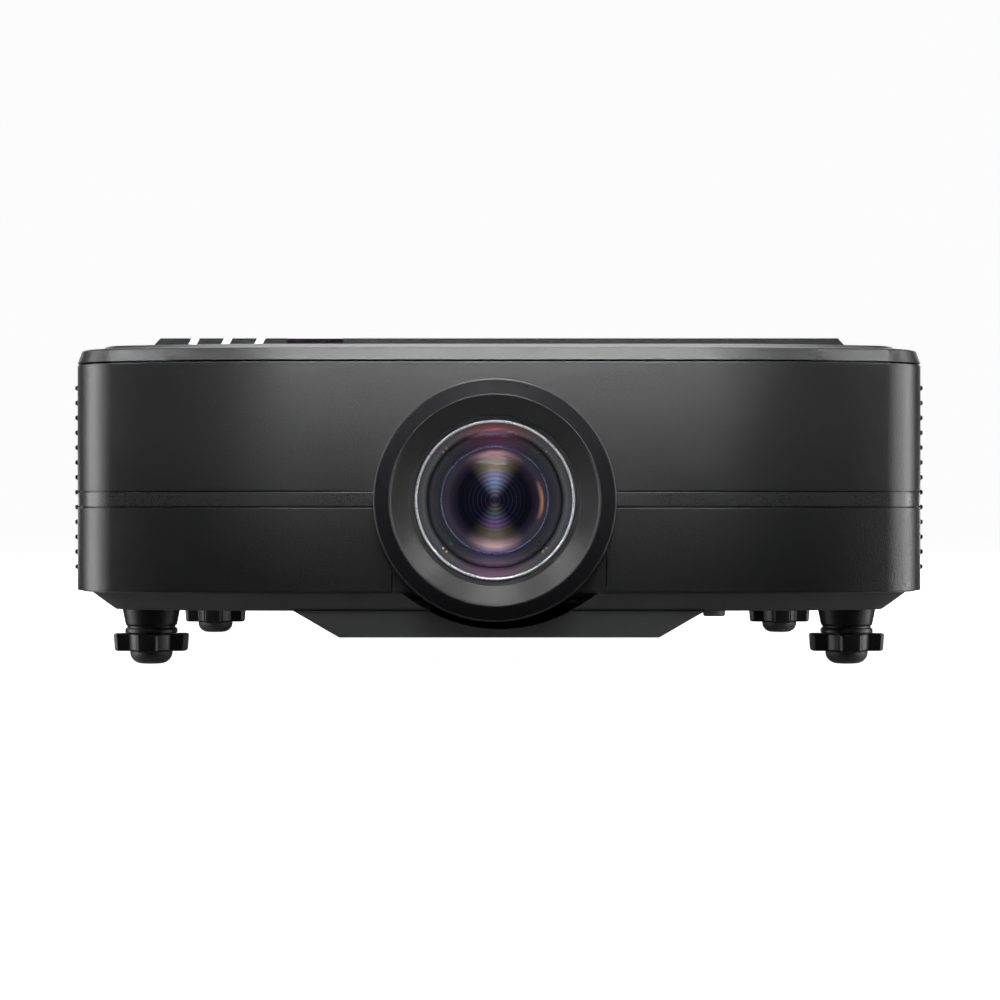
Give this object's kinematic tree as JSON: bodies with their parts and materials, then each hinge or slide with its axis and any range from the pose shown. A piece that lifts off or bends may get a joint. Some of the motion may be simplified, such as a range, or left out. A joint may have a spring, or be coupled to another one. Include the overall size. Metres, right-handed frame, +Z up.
{
  "type": "projector",
  "caption": "Low box-shaped black projector with a large shifting zoom lens, side louvres, levelling screw feet and a rear connector panel.",
  "frame": {"origin": "centre of the footprint box, on the surface that the four feet stand on", "axes": "+Z up; the lens looks along -Y; +Y points to the connector panel; +X is on the right when looking at the lens"},
  "size_m": [0.49, 0.52, 0.186],
  "materials": {
    "case_black": "satin, fine texture",
    "pan_black": "coarser moulded texture",
    "trim_black": "semi-gloss",
    "deck_black": "fine matt texture",
    "light_guide": "white diffusing plastic",
    "ir_window": "dark infra-red window",
    "port_metal": "plated connector shells",
    "inlet_black": "moulded",
    "button_grey": "satin",
    "sheet_steel": "plated",
    "plug_grey": "light grey",
    "insert_brass": "turned",
    "pad_rubber": "moulded rubber",
    "knob_black": "moulded",
    "barrel_black": "black anodised",
    "lens_glass": "multi-coated",
    "retainer_silver": "bright turned",
    "cast_alloy": "as cast",
    "board_green": "solder mask",
    "motor_black": "painted can",
    "fan_black": "moulded"
  },
  "bodies": {
    "case": {"bottom_pan": "pan_black", "lens_hump": "pan_black", "front_panel": "case_black", "belt_trim": "trim_black", "lens_surround": "case_black", "top_cover": "case_black", "deck_plate": "deck_black", "status_guides": "light_guide", "front_ir_window": "ir_window", "side_cover_left": "case_black", "side_cover_right": "case_black", "rear_panel": "case_black", "video_ports": "port_metal", "data_ports": "port_metal", "power_inlet": "inlet_black", "keypad_bezel": "trim_black", "security_bar": "sheet_steel", "foot_bosses": "knob_black", "pan_plug": "plug_grey", "mount_inserts": "insert_brass", "case_screws": "sheet_steel", "shift_base": "sheet_steel", "v_motor": "motor_black", "engine_housing": "cast_alloy", "dmd_board": "board_green", "laser_module": "cast_alloy", "heat_sink": "cast_alloy", "fan_frames": "fan_black", "main_board": "board_green", "power_supply": "sheet_steel"},
    "rocker": {"switch_rocker": "inlet_black"},
    "power_button": {"power_button": "button_grey"},
    "menu_button": {"menu_button": "button_grey"},
    "enter_button": {"enter_button": "button_grey"},
    "v_shift": {"v_carriage": "sheet_steel", "h_motor": "motor_black"},
    "v_lead": {"v_screw": "insert_brass"},
    "lens": {"h_carriage": "cast_alloy", "lens_barrel": "barrel_black", "lens_cowl": "case_black", "front_element": "lens_glass", "element_retainer": "retainer_silver", "light_baffle": "barrel_black", "ring_motors": "motor_black"},
    "h_lead": {"h_screw": "insert_brass"},
    "focus": {"focus_ring": "barrel_black"},
    "focus_gear": {"focus_pinion": "insert_brass"},
    "zoom": {"zoom_ring": "barrel_black"},
    "zoom_gear": {"zoom_pinion": "insert_brass"},
    "wheel": {"phosphor_wheel": "retainer_silver"},
    "fan_left": {"fan_rotor_left": "fan_black"},
    "fan_right": {"fan_rotor_right": "fan_black"},
    "pad_fl": {"foot_pad_fl": "pad_rubber"},
    "knob_fl": {"foot_knob_fl": "knob_black"},
    "pad_fr": {"foot_pad_fr": "pad_rubber"},
    "knob_fr": {"foot_knob_fr": "knob_black"},
    "pad_rl": {"foot_pad_rl": "pad_rubber"},
    "knob_rl": {"foot_knob_rl": "knob_black"},
    "pad_rr": {"foot_pad_rr": "pad_rubber"},
    "knob_rr": {"foot_knob_rr": "knob_black"}
  },
  "joints": [
    {"name": "power_switch", "type": "hinge", "parent": "case", "child": "rocker", "pos_m": [-0.149, 0.254, 0.079], "axis": [0, 0, 1], "range_deg": [0, 16]},
    {"name": "power_press", "type": "slide", "parent": "case", "child": "power_button", "axis": [0, -1, 0], "range_m": [0, 0.001], "stiffness_N_per_m": 400, "springref_m": -0.0005},
    {"name": "menu_press", "type": "slide", "parent": "case", "child": "menu_button", "axis": [0, -1, 0], "range_m": [0, 0.001], "stiffness_N_per_m": 400, "springref_m": -0.0005},
    {"name": "enter_press", "type": "slide", "parent": "case", "child": "enter_button", "axis": [0, -1, 0], "range_m": [0, 0.001], "stiffness_N_per_m": 400, "springref_m": -0.0005},
    {"name": "foot_height_fl", "type": "slide", "parent": "case", "child": "pad_fl", "axis": [0, 0, -1], "range_m": [0, 0.025]},
    {"name": "foot_turn_fl", "type": "hinge", "parent": "pad_fl", "child": "knob_fl", "pos_m": [-0.2009, -0.186, 0.012], "axis": [0, 0, -1], "range_deg": [-20, 7220]},
    {"name": "foot_height_fr", "type": "slide", "parent": "case", "child": "pad_fr", "axis": [0, 0, -1], "range_m": [0, 0.025]},
    {"name": "foot_turn_fr", "type": "hinge", "parent": "pad_fr", "child": "knob_fr", "pos_m": [0.2009, -0.186, 0.012], "axis": [0, 0, -1], "range_deg": [-20, 7220]},
    {"name": "foot_height_rl", "type": "slide", "parent": "case", "child": "pad_rl", "axis": [0, 0, -1], "range_m": [0, 0.025]},
    {"name": "foot_turn_rl", "type": "hinge", "parent": "pad_rl", "child": "knob_rl", "pos_m": [-0.2009, 0.166, 0.012], "axis": [0, 0, -1], "range_deg": [-20, 7220]},
    {"name": "foot_height_rr", "type": "slide", "parent": "case", "child": "pad_rr", "axis": [0, 0, -1], "range_m": [0, 0.025]},
    {"name": "foot_turn_rr", "type": "hinge", "parent": "pad_rr", "child": "knob_rr", "pos_m": [0.2009, 0.166, 0.012], "axis": [0, 0, -1], "range_deg": [-20, 7220]},
    {"name": "lens_shift_vertical", "type": "slide", "parent": "case", "child": "v_shift", "axis": [0, 0, 1], "range_m": [-0.0058, 0.0072]},
    {"name": "lens_shift_horizontal", "type": "slide", "parent": "v_shift", "child": "lens", "axis": [1, 0, 0], "range_m": [-0.005, 0.01]},
    {"name": "vertical_screw_turn", "type": "hinge", "parent": "case", "child": "v_lead", "pos_m": [0.118, -0.105, 0.1], "axis": [0, 0, 1], "range_deg": [-1080, 1320]},
    {"name": "horizontal_screw_turn", "type": "hinge", "parent": "v_shift", "child": "h_lead", "pos_m": [0, -0.118, 0.1213], "axis": [1, 0, 0], "range_deg": [-936, 1836]},
    {"name": "focus_turn", "type": "hinge", "parent": "lens", "child": "focus", "pos_m": [-0.0025, -0.207, 0.0943], "axis": [0, 1, 0], "range_deg": [-45, 45]},
    {"name": "zoom_turn", "type": "hinge", "parent": "lens", "child": "zoom", "pos_m": [-0.0025, -0.177, 0.0943], "axis": [0, 1, 0], "range_deg": [-30, 30]},
    {"name": "focus_motor_turn", "type": "hinge", "parent": "lens", "child": "focus_gear", "pos_m": [-0.04181, -0.207, 0.13362], "axis": [0, 1, 0], "range_deg": [-290, 290]},
    {"name": "zoom_motor_turn", "type": "hinge", "parent": "lens", "child": "zoom_gear", "pos_m": [0.03682, -0.177, 0.13362], "axis": [0, 1, 0], "range_deg": [-194, 194]},
    {"name": "wheel_spin", "type": "hinge", "parent": "case", "child": "wheel", "pos_m": [0.088, -0.02, 0.095], "axis": [1, 0, 0], "continuous": true},
    {"name": "fan_left_spin", "type": "hinge", "parent": "case", "child": "fan_left", "pos_m": [-0.218, 0.09, 0.108], "axis": [1, 0, 0], "continuous": true},
    {"name": "fan_right_spin", "type": "hinge", "parent": "case", "child": "fan_right", "pos_m": [0.218, 0.09, 0.108], "axis": [1, 0, 0], "continuous": true}
  ],
  "couplings": [
    {"joint": "foot_turn_fl", "follows": "foot_height_fl", "rad_per_m": 5026.5},
    {"joint": "foot_turn_fr", "follows": "foot_height_fr", "rad_per_m": 5026.5},
    {"joint": "foot_turn_rl", "follows": "foot_height_rl", "rad_per_m": 5026.5},
    {"joint": "foot_turn_rr", "follows": "foot_height_rr", "rad_per_m": 5026.5},
    {"joint": "vertical_screw_turn", "follows": "lens_shift_vertical", "rad_per_m": 3141.6},
    {"joint": "horizontal_screw_turn", "follows": "lens_shift_horizontal", "rad_per_m": 3141.6},
    {"joint": "focus_motor_turn", "follows": "focus_turn", "ratio": -6.4},
    {"joint": "zoom_motor_turn", "follows": "zoom_turn", "ratio": -6.4}
  ]
}
